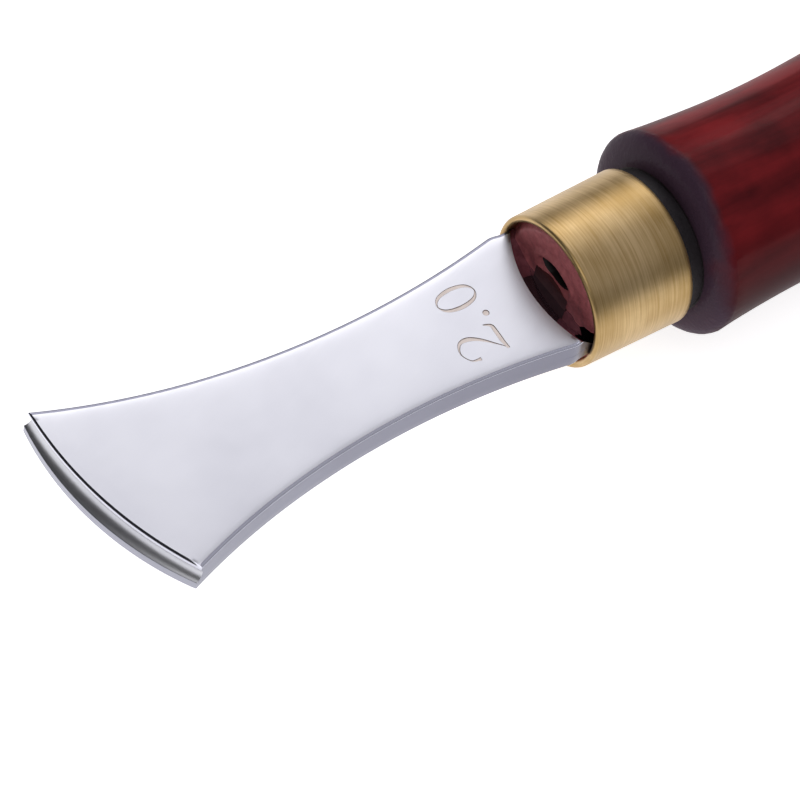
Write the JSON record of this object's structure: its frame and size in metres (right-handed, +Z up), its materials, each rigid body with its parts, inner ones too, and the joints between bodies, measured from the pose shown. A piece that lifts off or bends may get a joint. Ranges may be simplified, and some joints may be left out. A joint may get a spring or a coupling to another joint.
{
  "type": "edge creaser",
  "caption": "Hand edge creaser with a flared steel head, grooved arc tip, brass ferrule and turned hardwood handle.",
  "frame": {"origin": "centre of the object's box on the surface it lies on, below the handle", "axes": "+X along the tool from the grooved tip to the butt, +Z up out of the face with the size mark"},
  "size_m": [0.1504, 0.0244, 0.0244],
  "materials": {
    "polished_steel": "polished",
    "brass_tube": "brushed",
    "lacquered_wood": "gloss",
    "tinted_glue": "matte"
  },
  "bodies": {
    "root": {"creaser_head": "polished_steel", "ferrule": "brass_tube", "handle": "lacquered_wood", "tang_adhesive": "tinted_glue"}
  },
  "joints": []
}
